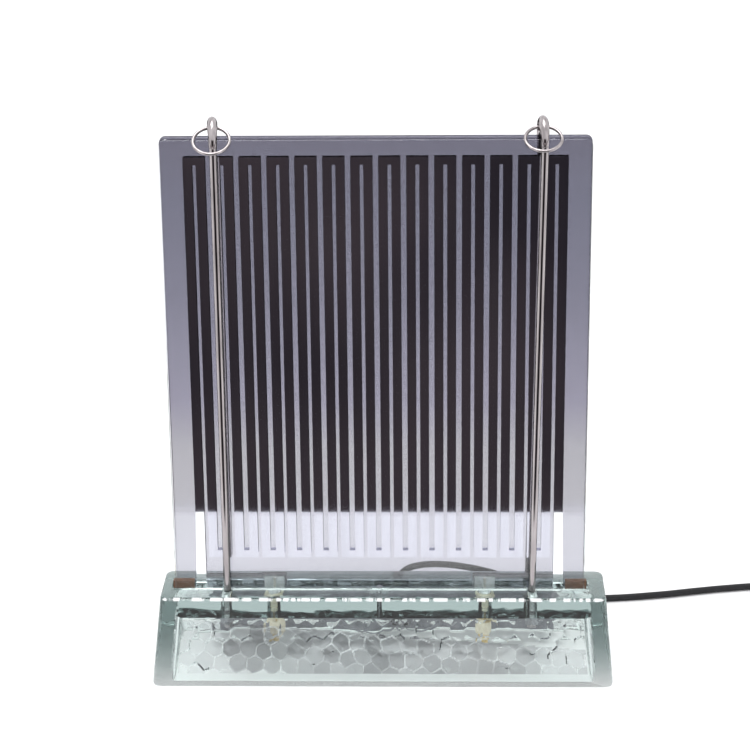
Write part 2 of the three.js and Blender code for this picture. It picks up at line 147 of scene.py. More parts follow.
def rounded_loop(half_x, half_y, radius, z, steps=10):
    loop = []
    for corner, (sx, sy) in enumerate(((1, 1), (-1, 1), (-1, -1), (1, -1))):
        for i in range(steps + 1):
            angle = (corner + i / steps) * math.pi / 2
            x = sx * (half_x - radius) + radius * math.cos(angle)
            y = sy * (half_y - radius) + radius * math.sin(angle)
            loop.append((x, y, z))
    return loop


def box_mesh(name, low, high):
    x0, y0, z0 = low
    x1, y1, z1 = high
    bottom = [(x0, y0, z0), (x1, y0, z0), (x1, y1, z0), (x0, y1, z0)]
    top = [(x, y, z1) for x, y, _ in bottom]
    return make_object(name, *skin([bottom, top]))


def frame_along(axis):
    """Rotation that takes +Z to the axis."""
    return Vector((0, 0, 1)).rotation_difference(Vector(axis)).to_matrix()


def turned(name, profile, place, axis=(0, 0, 1), sides=48, smooth_angle=30, closed=False):
    """A profile of (radius, distance along the axis) turned about it. A closed one, such as a sleeve's,
    joins its end to its start, and any other is capped."""
    turn = frame_along(axis)
    loops = []
    for radius, along in profile:
        loop = []
        for i in range(sides):
            angle = 2 * math.pi * i / sides
            local = Vector((radius * math.cos(angle), radius * math.sin(angle), along))
            loop.append(Vector(place) + turn @ local)
        loops.append(loop)
    return make_object(name, *skin(loops, wrap=closed), smooth_angle)


def carve(target, cutters, smooth_angle=30):
    """Cuts the cutters out of the target, and removes them."""
    for cutter in cutters:
        modifier = target.modifiers.new("cut", "BOOLEAN")
        modifier.operation = "DIFFERENCE"
        modifier.solver = "MANIFOLD"
        modifier.object = cutter
    graph = bpy.context.evaluated_depsgraph_get()
    mesh = bpy.data.meshes.new_from_object(target.evaluated_get(graph))
    target.modifiers.clear()
    target.data = mesh
    mesh.polygons.foreach_set("use_smooth", [True] * len(mesh.polygons))
    mesh.set_sharp_from_angle(angle=math.radians(smooth_angle))
    for cutter in cutters:
        bpy.data.objects.remove(cutter, do_unlink=True)
    return target


# ---------------------------------------------------------------- cord
def gland_point(along):
    return GLAND + GLAND_AXIS * along


def plug_point(along, aside=0.0):
    return PLUG_START + PLUG_AXIS * along + Vector((0, aside, 0))


def coil_points():
    """Seven turns in two columns: out, then in at the bottom, up the inner column and down the outer one."""
    layer = [0.0029 + 0.00525 * i for i in range(4)]
    stops = [
        (COIL_OUTER, layer[0]),
        (COIL_INNER, layer[0]),
        (COIL_INNER, layer[1]),
        (COIL_INNER, layer[2]),
        (COIL_INNER, layer[3]),
        (COIL_OUTER, layer[3]),
        (COIL_OUTER, layer[2]),
        (COIL_OUTER, layer[1]),
    ]
    shift_starts = [285, 615, 975, 1335, 1665, 1995, 2355]
    shift_length = 60
    points = []
    for turned_by in range(0, 7 * 360 + 1, 15):
        radius, height = stops[0]
        for start, before, after in zip(shift_starts, stops, stops[1:]):
            part = min(max((turned_by - start) / shift_length, 0), 1)
            part = part * part * (3 - 2 * part)
            radius += (after[0] - before[0]) * part
            height += (after[1] - before[1]) * part
        angle = math.radians(turned_by - 90)
        x = COIL_CENTRE[0] + radius * math.cos(angle)
        y = COIL_CENTRE[1] + radius * math.sin(angle)
        points.append((x, y, height))
    return points


def cord_route():
    gland_stops = (GLAND_INSIDE - 0.006, 0.002, RELIEF_END - 0.004, RELIEF_END + 0.002)
    start = [tuple(gland_point(along)) for along in gland_stops]
    run = [
        (0.0121, 0.0741, 0.0346),
        (0.0179, 0.0817, 0.0362),
        (0.0263, 0.0861, 0.0369),
        (0.036, 0.088, 0.037),
        (0.048, 0.0886, 0.0364),
        (0.062, 0.089, 0.0344),
        (0.078, 0.0896, 0.0306),
        (0.094, 0.0906, 0.025),
        (0.11, 0.0918, 0.0184),
        (0.124, 0.093, 0.0126),
        (0.138, 0.0948, 0.0078),
        (0.152, 0.0967, 0.0044),
        (0.169, 0.099, 0.0029),
        (0.215, 0.1056, 0.0029),
        (0.247, 0.1134, 0.0029),
        (0.275, 0.1196, 0.0029),
        (0.300, 0.1234, 0.0029),
        (0.318, 0.124, 0.0029),
    ]
    end = [(0.347, 0.124, 0.0073), (0.358, 0.124, 0.0042), (0.367, 0.124, 0.0031)]
    plug = [tuple(plug_point(along)) for along in (-0.003, 0.008)]
    return start + run + coil_points() + end + plug


def add_cord():
    points = cord_route()
    curve = bpy.data.curves.new("supply_cord", "CURVE")
    curve.dimensions = "3D"
    curve.bevel_depth = 1  # times each point's radius, so that the curve's own box is true
    curve.bevel_resolution = 6
    curve.resolution_u = 6
    curve.use_fill_caps = True
    spline = curve.splines.new("BEZIER")
    spline.bezier_points.add(len(points) - 1)
    for bezier, place in zip(spline.bezier_points, points):
        bezier.co = place
        bezier.radius = CORD_DIAMETER / 2
        bezier.handle_left_type = "AUTO"
        bezier.handle_right_type = "AUTO"
    cord = bpy.data.objects.new("supply_cord", curve)
    bpy.context.collection.objects.link(cord)
    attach(cord, "heater")
    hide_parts("cord_main", "cord_coil", "cord_tail")
    return cord


def add_plug():
    profile = [
        (0.0040, 0.0002), (0.0046, 0.0008), (0.0048, 0.005), (0.0053, 0.009), (0.0062, 0.012),
        (0.0074, 0.0145), (0.0082, 0.0175), (0.0091, 0.022), (0.0099, 0.0255), (0.0107, 0.0282),
        (0.0110, 0.0295), (0.0110, 0.0306), (0.0106, 0.0316), (0.0100, 0.0320),
    ]
    plug = turned("plug_shell", profile, PLUG_START, PLUG_AXIS, 64)
    holes = []
    for aside in (-0.0052, 0.0052):
        place = plug_point(0.023, aside)
        holes.append(turned("pin_hole", [(0.0026, 0), (0.0026, 0.012)], place, PLUG_AXIS, 24))
    holes.append(turned("cord_hole", [(0.0029, -0.002), (0.0029, 0.009)], PLUG_START, PLUG_AXIS, 32))
    carve(plug, holes)
    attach(plug, "heater")
    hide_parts("plug_body")
    return plug


plug_shell = add_plug()
supply_cord = add_cord()


# ---------------------------------------------------------------- glass base
def cavity_half(z):
    return (BASE_BOTTOM[0] - END_WALL - END_SLOPE * z, BASE_BOTTOM[1] - WALL - SLOPE * z)


CELL_PITCH = 0.0125
CELL_DEPTH = 0.0011
CUT_MEAN = 0.0012  # how deep the middle of the relief lies in the wall
LEAST_CUT = 0.0002  # the relief never comes nearer to the wall's own face than this
CUTTER_BACK = 0.0008  # how far a cutter reaches back into the cavity
RIDGE_WIDTH = 0.0012
RELIEF_BOTTOM = 0.0048
RELIEF_TOP = CAVITY_TOP - 0.0008
RELIEF_INSET = 0.0042  # bare wall left at each upright corner


class Honeycomb:
    """Dished cells with sharp ridges between them. Each has its own place, lean, depth and painted shade."""

    def __init__(self, width, height, seed):
        rng = np.random.default_rng(seed)
        row_step = CELL_PITCH * 0.86
        cells = []
        for row in range(-2, int(height / row_step) + 3):
            for column in range(-2, int(width / CELL_PITCH) + 3):
                x = (column + 0.5 * (row % 2) + rng.uniform(-0.2, 0.2)) * CELL_PITCH
                y = (row + rng.uniform(-0.16, 0.16)) * row_step
                lean_x, lean_y = rng.uniform(-0.09, 0.09, 2)
                # Painted shade by place: the lowest row is light, the ends and top rows are middling, and
                # the middle rows are darkest.
                if y < 0.17 * height:
                    painted_shade = rng.uniform(0, 0.22)
                elif min(x, width - x) < 0.034:
                    painted_shade = rng.uniform(0.2, 0.4)
                elif y > 0.8 * height:
                    painted_shade = rng.uniform(0.3, 0.65)
                else:
                    painted_shade = rng.uniform(0.5, 1)
                cells.append((x, y, lean_x, lean_y, rng.uniform(0.75, 1), painted_shade))
        self.cells = np.array(cells)

    def nearest(self, u, v):
        """The nearest cell to each place, and how far it and the next one are."""
        dx = u[..., None] - self.cells[:, 0]
        dy = v[..., None] - self.cells[:, 1]
        away = np.sqrt(dx * dx + dy * dy)
        order = np.argsort(away, axis=-1)[..., :2]
        reach = np.take_along_axis(away, order, -1)
        return order[..., 0], reach[..., 0], reach[..., 1]

    def depth(self, u, v):
        own, reach, _ = self.nearest(u, v)
        cells = self.cells[own]
        bowl = 1 - (reach / (0.62 * CELL_PITCH)) ** 2
        lean = cells[..., 2] * (u - cells[..., 0]) + cells[..., 3] * (v - cells[..., 1])
        return CELL_DEPTH * cells[..., 4] * bowl + lean

    # Each place's painted shade, from 0 for clear to 1 for darkest.
    def painted_shade(self, u, v):
        return self.cells[self.nearest(u, v)[0], 5]

    def ridge(self, u, v):
        _, reach, beyond = self.nearest(u, v)
        return np.clip(1 - (beyond - reach) / RIDGE_WIDTH, 0, 1)


def relief_walls():
    """The cavity's four walls: corners from the bottom left, the way outward, and the cells on each."""
    low_z, high_z = RELIEF_BOTTOM, RELIEF_TOP
    (low_x, low_y), (high_x, high_y) = cavity_half(low_z), cavity_half(high_z)
    inset = RELIEF_INSET
    walls = []
    for sign, seed in ((-1, 3), (1, 5)):
        corners = [
            (-low_x + inset, sign * low_y, low_z),
            (low_x - inset, sign * low_y, low_z),
            (high_x - inset, sign * high_y, high_z),
            (-high_x + inset, sign * high_y, high_z),
        ]
        walls.append((corners, (0, sign * math.cos(GLAND_ANGLE), math.sin(GLAND_ANGLE)), seed))
    for sign, seed in ((-1, 7), (1, 9)):
        corners = [
            (sign * low_x, -low_y + inset, low_z),
            (sign * low_x, low_y - inset, low_z),
            (sign * high_x, high_y - inset, high_z),
            (sign * high_x, -high_y + inset, high_z),
        ]
        walls.append((corners, (sign, 0, END_SLOPE), seed))
    return walls


def wall_frame(corners, outward):
    a, b, _, d = [np.array(p) for p in corners]
    out = np.array(Vector(outward).normalized())
    return a, (b - a) / np.linalg.norm(b - a), (d - a) / np.linalg.norm(d - a), out


def wall_cutter(name, corners, outward, seed, step=0.0009):
    """A slab that cuts dished cells into a wall whose corners go round from its bottom left."""
    a, b, c, d = [Vector(p) for p in corners]
    width = (b - a).length
    height = (d - a).length
    columns = int(width / step)
    rows = int(height / step)
    u, v = np.meshgrid(np.linspace(0, 1, columns + 1), np.linspace(0, 1, rows + 1))
    depth = Honeycomb(width, height, seed).depth(u * width, v * height) + CUT_MEAN
    depth = np.maximum(depth, LEAST_CUT)
    corner = [np.array(p) for p in (a, b, c, d)]
    flat = (
        corner[0] * ((1 - u) * (1 - v))[..., None]
        + corner[1] * (u * (1 - v))[..., None]
        + corner[2] * (u * v)[..., None]
        + corner[3] * ((1 - u) * v)[..., None]
    )
    out = np.array(Vector(outward).normalized())
    top = flat + out * depth[..., None]
    back = flat - out * CUTTER_BACK
    points = np.concatenate([top.reshape(-1, 3), back.reshape(-1, 3)])
    across = columns + 1
    lower = across * (rows + 1)
    faces = []
    for j in range(rows):
        for i in range(columns):
            p = j * across + i
            faces.append((p, p + 1, p + 1 + across, p + across))
            faces.append((lower + p, lower + p + across, lower + p + 1 + across, lower + p + 1))
    for i in range(columns):
        faces.append((i + 1, i, lower + i, lower + i + 1))
        p = rows * across + i
        faces.append((p, p + 1, lower + p + 1, lower + p))
    for j in range(rows):
        p = j * across
        faces.append((p, p + across, lower + p + across, lower + p))
        p = j * across + columns
        faces.append((p + across, p, lower + p, lower + p + across))
    cutter = make_object(name, points.tolist(), faces)
    editor = bmesh.new()
    editor.from_mesh(cutter.data)
    bmesh.ops.recalc_face_normals(editor, faces=editor.faces)
    editor.to_mesh(cutter.data)
    editor.free()
    return cutter


def paint_cell_shade(base):
    """Gives the base's mesh each cell's painted shade and where its ridges are, for the glass's material,
    which lays painted glints on some ridges.
    """
    count = len(base.data.vertices)
    points = np.empty(count * 3)
    base.data.vertices.foreach_get("co", points)
    points = points.reshape(-1, 3)
    tone = np.zeros(count)
    ridge = np.zeros(count)
    for corners, outward, seed in relief_walls():
        origin, along, up, out = wall_frame(corners, outward)
        width = float(np.dot(np.array(corners[1]) - origin, along))
        height = float(np.dot(np.array(corners[3]) - origin, up))
        local = points - origin
        u, v, w = local @ along, local @ up, local @ out
        in_relief = (w > LEAST_CUT / 2) & (w < 3 * CUT_MEAN)
        on_wall = in_relief & (u > -0.001) & (u < width + 0.001) & (v > 0) & (v < height)
        cells = Honeycomb(width, height, seed)
        tone[on_wall] = cells.painted_shade(u[on_wall], v[on_wall])
        ridge[on_wall] = cells.ridge(u[on_wall], v[on_wall])
    for name, values in (("cell_painted_shade", tone), ("cell_ridge", ridge)):
        base.data.attributes.new(name, "FLOAT", "POINT").data.foreach_set("value", values)


def leg_places():
    """Each rod's name, side, foot and head, as the part has them."""
    places = {}
    for side, size in SIDES.items():
        for end, sign in (("front", -1), ("rear", 1)):
            shift = -sign * LEG_Y * math.sin(TWIST)
            y = sign * LEG_Y * math.cos(TWIST)
            places[f"{end}_{side}"] = (size["foot"] + shift, size["bow"] + shift, y)
    return places


def rod_point(place, z):
    foot_x, head_x, y = place
    return Vector((foot_x + (head_x - foot_x) * (z - ROD_FOOT) / (ROD_HEAD - ROD_FOOT), y, z))


def add_base():
    bottom_x, bottom_y = BASE_BOTTOM
    radius = BASE_CORNER
    edge = 0.0018
    loops = []
    for angle in (0, 30, 60, 90):
        inset = edge * (1 - math.sin(math.radians(angle)))
        z = edge * (1 - math.cos(math.radians(angle)))
        half_x = bottom_x - END_SLOPE * z - inset
        half_y = bottom_y - SLOPE * z - inset
        loops.append(rounded_loop(half_x, half_y, radius - inset, z))
    for angle in (90, 60, 30, 0):
        inset = edge * (1 - math.sin(math.radians(angle)))
        z = BASE_HEIGHT - edge * (1 - math.cos(math.radians(angle)))
        half_x = bottom_x - END_SLOPE * z - inset
        half_y = bottom_y - SLOPE * z - inset
        loops.append(rounded_loop(half_x, half_y, radius - inset, z))
    base = make_object("base_glass", *skin(loops))

    cavity_loops = [rounded_loop(*cavity_half(z), 0.004, z, 6) for z in (-0.002, CAVITY_TOP)]
    cutters = [make_object("cavity", *skin(cavity_loops))]
    slot_low = (MIDDLE - SLOT_HALF[0], -SLOT_HALF[1], SLOT_FLOOR)
    slot_high = (MIDDLE + SLOT_HALF[0], SLOT_HALF[1], BASE_HEIGHT + 0.002)
    cutters.append(box_mesh("slot", slot_low, slot_high))
    holes = [(rod_point(place, 0.05), 0.0038) for place in leg_places().values()]
    holes += [(Vector((MIDDLE + side * TERMINAL_OFFSET, 0, 0)), 0.0051) for side in (-1, 1)]
    holes.append((Vector((MIDDLE, 0, 0)), 0.0019))
    for place, hole_radius in holes:
        profile = [(hole_radius, CAVITY_TOP - 0.002), (hole_radius, BASE_HEIGHT + 0.002)]
        cutters.append(turned("hole", profile, (place.x, place.y, 0), sides=40))
    cutters.append(turned("gland_hole", [(0.0046, -0.02), (0.0046, 0.008)], GLAND, GLAND_AXIS, 40))
    cutters += [wall_cutter(f"cells_{i}", *wall) for i, wall in enumerate(relief_walls())]
    carve(base, cutters, 32)
    paint_cell_shade(base)
    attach(base, "heater")
    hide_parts("glass_base")
    return base


base_glass = add_base()


# ---------------------------------------------------------------- rods, bows and rings
def add_rods():
    pieces = []
    for name, place in leg_places().items():
        foot, head = rod_point(place, ROD_END), rod_point(place, BOW_LEG_END - 0.0003)
        axis = (head - foot).normalized()
        length = (head - foot).length
        profile = [
            (ROD_RADIUS - 0.0004, 0), (ROD_RADIUS, 0.0004), (ROD_RADIUS, length - 0.0004),
            (ROD_RADIUS - 0.0003, length), (0.0016, length), (0.0016, length + 0.003),
        ]
        rod = turned(f"{name}_rod", profile, foot, axis, 40)
        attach(rod, "heater")
        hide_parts(f"rod_{name}")
        pieces.append(rod)
    return pieces


def bow_section(phi, across, wide, y, z, sides=32):
    loop = []
    for i in range(sides):
        angle = 2 * math.pi * i / sides
        out = across * math.cos(angle)
        loop.append(Vector((wide * math.sin(angle), y - out * math.cos(phi), z + out * math.sin(phi))))
    return loop


def add_bow(side):
    leg_half, crown_half, crown_wide = 0.0029, 0.00575, 0.00375
    steps = 48
    loops = [bow_section(0, leg_half, leg_half, -LEG_Y, BOW_LEG_END)]
    for i in range(steps + 1):
        phi = math.pi * i / steps
        swell = math.sin(phi) ** 2
        across = leg_half + (crown_half - leg_half) * swell
        wide = leg_half + 0.0001 + (crown_wide - leg_half - 0.0001) * swell
        y, z = -LEG_Y * math.cos(phi), BOW_CENTRE + LEG_Y * math.sin(phi)
        loops.append(bow_section(phi, across, wide, y, z))
    loops.append(bow_section(math.pi, leg_half, leg_half, LEG_Y, BOW_LEG_END))
    bow = make_object(f"{side}_bow", *skin(loops))
    eye_profile = [(0.0036, -0.006), (0.0036, -0.0036), (EYE_RADIUS, -0.0026), (EYE_RADIUS, 0.0026),
                   (0.0036, 0.0036), (0.0036, 0.006)]
    eye = turned("eye", eye_profile, (0, 0, EYE_HEIGHT), (1, 0, 0), 40)
    bore = [(0.0019, BOW_LEG_END - 0.002), (0.0019, BOW_LEG_END + 0.0034)]
    sockets = [turned("socket", bore, (0, y, 0), sides=24) for y in (-LEG_Y, LEG_Y)]
    carve(bow, [eye] + sockets, 40)
    bow.data.transform(Matrix.Translation((SIDES[side]["bow"], 0, 0)) @ Matrix.Rotation(TWIST, 4, "Z"))
    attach(bow, "heater")
    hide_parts(f"bow_{side}")
    return bow


def add_ring(side):
    around, wire_sides = 96, 20
    loops = []
    for i in range(around):
        angle = 2 * math.pi * i / around
        loop = []
        for j in range(wire_sides):
            turn = -2 * math.pi * j / wire_sides
            reach = RING_RADIUS + RING_WIRE * math.cos(turn)
            x, y, z = reach * math.sin(angle), RING_WIRE * math.sin(turn), reach * math.cos(angle)
            loop.append(Vector((x, y, z - RING_RADIUS)))
        loops.append(loop)
    ring = make_object(f"{side}_carry_ring", *skin(loops, wrap=True))
    lean = Matrix.Rotation(-math.radians(SIDES[side]["lean"]), 4, "X")
    ring.data.transform(Matrix.Translation((SIDES[side]["bow"], 0, EYE_HEIGHT)) @ lean)
    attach(ring, f"{side}_ring")
    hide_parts(f"ring_{side}")
    return ring


plated = add_rods()
plated += [add_bow(side) for side in SIDES]
plated += [add_ring(side) for side in SIDES]


def add_relief():
    """The strain relief: a shank through the wall, a flange, and a taper with grooves that let it bend."""
    bore = 0.0029
    profile = [(bore, GLAND_INSIDE - 0.004), (0.0042, GLAND_INSIDE - 0.004), (0.0042, 0.0003),
               (0.0066, 0.0003), (0.0070, 0.0008), (0.0070, 0.0018), (0.0066, 0.0022), (0.0054, 0.0026)]
    ribs = 7
    for i in range(ribs):
        along = 0.0034 + i * 0.0026
        radius = 0.0053 - 0.00026 * i
        profile += [(radius, along), (radius, along + 0.0015), (radius - 0.0007, along + 0.0018),
                    (radius - 0.0007, along + 0.0024)]
    profile += [(0.0036, RELIEF_END - 0.0004), (0.0034, RELIEF_END), (bore, RELIEF_END)]
    relief = turned("ribbed_relief", profile, GLAND, GLAND_AXIS, 48, 50, closed=True)
    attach(relief, "heater")
    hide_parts("strain_relief")
    return relief


ribbed_relief = add_relief()


# ---------------------------------------------------------------- materials
class Shader:
    """One procedural material: a Principled shader with helpers for the nodes that drive it."""

    def __init__(self, name, **values):
        self.material = bpy.data.materials.new(name)
        self.material.use_nodes = True
        self.nodes = self.material.node_tree.nodes
        self.links = self.material.node_tree.links
        self.surface = self.nodes["Principled BSDF"]
        self.output = self.nodes["Material Output"]
        for socket, value in values.items():
            self.surface.inputs[socket.replace("_", " ")].default_value = value

    def new(self, kind, **settings):
        node = self.nodes.new(kind)
        for key, value in settings.items():
            setattr(node, key, value)
        return node

    def place(self):
        return self.new("ShaderNodeTexCoord").outputs["Object"]

    def stretched(self, scale):
        mapping = self.new("ShaderNodeMapping")
        mapping.inputs["Scale"].default_value = scale
        self.links.new(self.place(), mapping.inputs["Vector"])
        return mapping.outputs["Vector"]

    def noise(self, scale, detail=3.0, roughness=0.5, vector=None, distortion=0.0):
        node = self.new("ShaderNodeTexNoise")
        node.inputs["Scale"].default_value = scale
        node.inputs["Detail"].default_value = detail
        node.inputs["Roughness"].default_value = roughness
        node.inputs["Distortion"].default_value = distortion
        self.links.new(vector or self.place(), node.inputs["Vector"])
        return node.outputs["Fac"]

    def ramp(self, factor, stops, interpolation="LINEAR"):
        node = self.new("ShaderNodeValToRGB")
        node.color_ramp.interpolation = interpolation
        elements = node.color_ramp.elements
        while len(elements) < len(stops):
            elements.new(0.5)
        for element, (position, color) in zip(elements, stops):
            element.position = position
            element.color = (*color, 1)
        self.links.new(factor, node.inputs["Fac"])
        return node.outputs["Color"]

    def span(self, value, low, high):
        node = self.new("ShaderNodeMapRange")
        node.inputs["From Min"].default_value = low
        node.inputs["From Max"].default_value = high
        self.links.new(value, node.inputs["Value"])
        return node.outputs["Result"]

    def height(self, low, high):
        """0 to 1 from one height to another, in the row frame."""
        split = self.new("ShaderNodeSeparateXYZ")
        self.links.new(self.place(), split.inputs[0])
        return self.span(split.outputs["Z"], low, high)

    def range(self, factor, low, high):
        node = self.new("ShaderNodeMapRange")
        node.inputs["To Min"].default_value = low
        node.inputs["To Max"].default_value = high
        self.links.new(factor, node.inputs["Value"])
        return node.outputs["Result"]

    def times(self, a, b):
        node = self.new("ShaderNodeMath", operation="MULTIPLY")
        self.links.new(a, node.inputs[0])
        self.links.new(b, node.inputs[1])
        return node.outputs[0]

    def color(self, socket):
        self.links.new(socket, self.surface.inputs["Base Color"])

    def rough(self, factor, low, high):
        self.links.new(self.range(factor, low, high), self.surface.inputs["Roughness"])

    def bump(self, factor, distance, strength=1.0):
        node = self.new("ShaderNodeBump")
        node.inputs["Strength"].default_value = strength
        node.inputs["Distance"].default_value = distance
        self.links.new(factor, node.inputs["Height"])
        self.links.new(node.outputs["Normal"], self.surface.inputs["Normal"])


def moulded_glass():
    """Clear pressed glass. Painted shade darkens the cells unevenly, and painted highlights lie on some
    ridges and in dashes on the front top edge.
    """
    look = Shader("moulded_glass", IOR=1.52, Transmission_Weight=1.0)
    clear = look.ramp(look.noise(18, 2), [(0.3, (0.93, 0.975, 0.96)), (0.7, (0.97, 0.99, 0.98))])
    # Painted shade: the cells' attribute darkens the glass's see-through colour, most in the middle rows.
    tone = look.new("ShaderNodeAttribute", attribute_name="cell_painted_shade").outputs["Fac"]
    painted_shade = [
        (0.0, (1, 1, 1)),
        (0.25, (0.66, 0.65, 0.67)),
        (0.55, (0.36, 0.35, 0.37)),
        (1.0, (0.13, 0.125, 0.135)),
    ]
    painted_shade_color = look.ramp(tone, painted_shade)
    tint = look.new("ShaderNodeMix", data_type="RGBA", blend_type="MULTIPLY")
    tint.inputs["Factor"].default_value = 1
    look.links.new(clear, tint.inputs["A"])
    look.links.new(painted_shade_color, tint.inputs["B"])
    look.color(tint.outputs["Result"])
    look.rough(look.noise(60, 3), 0.0, 0.04)
    waves = look.noise(1, 2, vector=look.stretched((26, 40, 60)), distortion=0.3)
    look.bump(waves, 0.0016, 0.5)
    absorb = look.new("ShaderNodeVolumeAbsorption")
    absorb.inputs["Color"].default_value = (0.408, 0.53, 0.52, 1)
    absorb.inputs["Density"].default_value = 28
    look.links.new(absorb.outputs[0], look.output.inputs["Volume"])

    # Painted glints: white is mixed in on some cell ridges.
    ridge = look.new("ShaderNodeAttribute", attribute_name="cell_ridge").outputs["Fac"]
    some = look.ramp(look.noise(55, 2), [(0.50, (0.22, 0.22, 0.22)), (0.62, (0.95, 0.95, 0.95))])
    ridge_glints = look.times(ridge, some)
    # Painted highlight: broken white dashes along the front top edge.
    split = look.new("ShaderNodeSeparateXYZ")
    look.links.new(look.place(), split.inputs[0])
    high = look.span(split.outputs["Z"], BASE_HEIGHT - 0.0021, BASE_HEIGHT - 0.0014)
    front = look.span(split.outputs["Y"], 0.0022 - BASE_TOP[1], 0.0006 - BASE_TOP[1])
    dashes = look.noise(1, 3, vector=look.stretched((210, 40, 40)))
    broken = look.ramp(dashes, [(0.44, (0, 0, 0)), (0.52, (0.85, 0.85, 0.85))])
    painted_rim_highlight = look.times(look.times(high, front), broken)
    painted_glints = look.new("ShaderNodeMath", operation="MAXIMUM")
    look.links.new(ridge_glints, painted_glints.inputs[0])
    look.links.new(painted_rim_highlight, painted_glints.inputs[1])
    # The white that the painted glints and the painted edge highlight mix in.
    bright = look.new("ShaderNodeBsdfDiffuse")
    bright.inputs["Color"].default_value = (0.95, 0.96, 0.97, 1)
    mix = look.new("ShaderNodeMixShader")
    look.links.new(painted_glints.outputs[0], mix.inputs[0])
    look.links.new(look.surface.outputs[0], mix.inputs[1])
    look.links.new(bright.outputs[0], mix.inputs[2])
    look.links.new(mix.outputs[0], look.output.inputs["Surface"])
    return look.material


def plate_glass(name, stops):
    """Clear sheet glass, coloured by height; the rear plate's colours are painted light and shade, lighter
    toward the bottom and darker toward the top. A ray meets two faces, so each passes the tint's square
    root.
    """
    look = Shader(name, Metallic=1.0, Base_Color=(1, 1, 1, 1))
    look.rough(look.noise(9, 4), 0.01, 0.03)
    look.bump(look.noise(4, 1), 0.0003, 0.08)
    clear = look.new("ShaderNodeBsdfTransparent")
    faces = [(position, tuple(part**0.5 for part in color)) for position, color in stops]
    look.links.new(look.ramp(look.height(0.055, 0.401), faces), clear.inputs["Color"])
    gloss = look.new("ShaderNodeFresnel")
    gloss.inputs["IOR"].default_value = 1.5
    facing = look.new("ShaderNodeSeparateXYZ")
    look.links.new(look.new("ShaderNodeNewGeometry").outputs["Normal"], facing.inputs[0])
    broad = look.new("ShaderNodeMath", operation="ABSOLUTE")
    look.links.new(facing.outputs["Y"], broad.inputs[0])
    mix = look.new("ShaderNodeMixShader")
    look.links.new(look.times(gloss.outputs[0], broad.outputs[0]), mix.inputs[0])
    look.links.new(clear.outputs[0], mix.inputs[1])
    look.links.new(look.surface.outputs[0], mix.inputs[2])
    look.links.new(mix.outputs[0], look.output.inputs["Surface"])
    return look.material


FILM_END = 0.1290  # inner side of the film's two ends, from the middle of the plates
# Below this height the film's two ends are painted near white, a painted reflection.
END_PAINTED_LIGHT_TOP = 0.119


def metal_film():
    """A mirror film. Below a set height its two ends that run down to the terminals are painted near white,
    a painted reflection brighter than the duller loops.
    """
    look = Shader("aluminium_film", Metallic=1.0)
    streaks = look.noise(1, 4, vector=look.stretched((160, 20, 9)))
    loops = look.ramp(streaks, [(0.3, (0.56, 0.56, 0.635)), (0.75, (0.61, 0.61, 0.69))])
    split = look.new("ShaderNodeSeparateXYZ")
    look.links.new(look.place(), split.inputs[0])
    aside = look.new("ShaderNodeMath", operation="ADD")
    aside.inputs[1].default_value = -MIDDLE
    look.links.new(split.outputs["X"], aside.inputs[0])
    across = look.new("ShaderNodeMath", operation="ABSOLUTE")
    look.links.new(aside.outputs[0], across.inputs[0])
    # Painted reflection: the two ends below the set height turn near white.
    ends = look.span(across.outputs[0], FILM_END, FILM_END + 0.0006)
    low = look.span(split.outputs["Z"], END_PAINTED_LIGHT_TOP, END_PAINTED_LIGHT_TOP - 0.0005)
    tone = look.new("ShaderNodeMix", data_type="RGBA")
    look.links.new(look.times(ends, low), tone.inputs["Factor"])
    look.links.new(loops, tone.inputs["A"])
    tone.inputs["B"].default_value = (0.94, 0.94, 0.96, 1)
    look.color(tone.outputs["Result"])
    look.rough(streaks, 0.02, 0.05)
    look.bump(look.noise(7, 1), 0.0005, 0.08)
    return look.material


def plating():
    look = Shader("plating", Metallic=1.0)
    tone = look.noise(1, 3, vector=look.stretched((300, 300, 30)))
    look.color(look.ramp(tone, [(0.3, (0.30, 0.275, 0.28)), (0.7, (0.46, 0.425, 0.43))]))
    look.rough(look.noise(1, 4, vector=look.stretched((900, 900, 120))), 0.05, 0.16)
    look.bump(look.noise(1, 3, vector=look.stretched((500, 500, 60))), 0.0001, 0.15)
    return look.material


def dull_metal(name, dark, pale, low=0.28, high=0.5):
    look = Shader(name, Metallic=1.0)
    tone = look.noise(420, 5, 0.65)
    look.color(look.ramp(tone, [(0.3, dark), (0.72, pale)]))
    look.rough(look.noise(900, 4), low, high)
    look.bump(look.noise(1600, 3), 0.0001, 0.3)
    return look.material


def grainy(name, dark, pale, scale, low, high, bump):
    look = Shader(name)
    look.color(look.ramp(look.noise(scale, 6, 0.6), [(0.28, dark), (0.74, pale)]))
    look.rough(look.noise(scale * 2.5, 4), low, high)
    look.bump(look.noise(scale * 4, 4), bump, 0.4)
    return look.material


def pale_block():
    look = Shader("pale_block", IOR=1.45, Transmission_Weight=0.75)
    look.color(look.ramp(look.noise(220, 4), [(0.3, (0.72, 0.80, 0.80)), (0.7, (0.86, 0.90, 0.90))]))
    look.rough(look.noise(500, 3), 0.12, 0.3)
    look.bump(look.noise(700, 2), 0.0001, 0.2)
    return look.material


def cord_rubber():
    look = Shader("cord_rubber", Specular_IOR_Level=0.3)
    look.color(look.ramp(look.noise(260, 4), [(0.3, (0.006, 0.006, 0.007)), (0.75, (0.014, 0.014, 0.016))]))
    look.rough(look.noise(700, 4), 0.42, 0.6)
    look.bump(look.noise(1800, 3), 0.00008, 0.35)
    return look.material


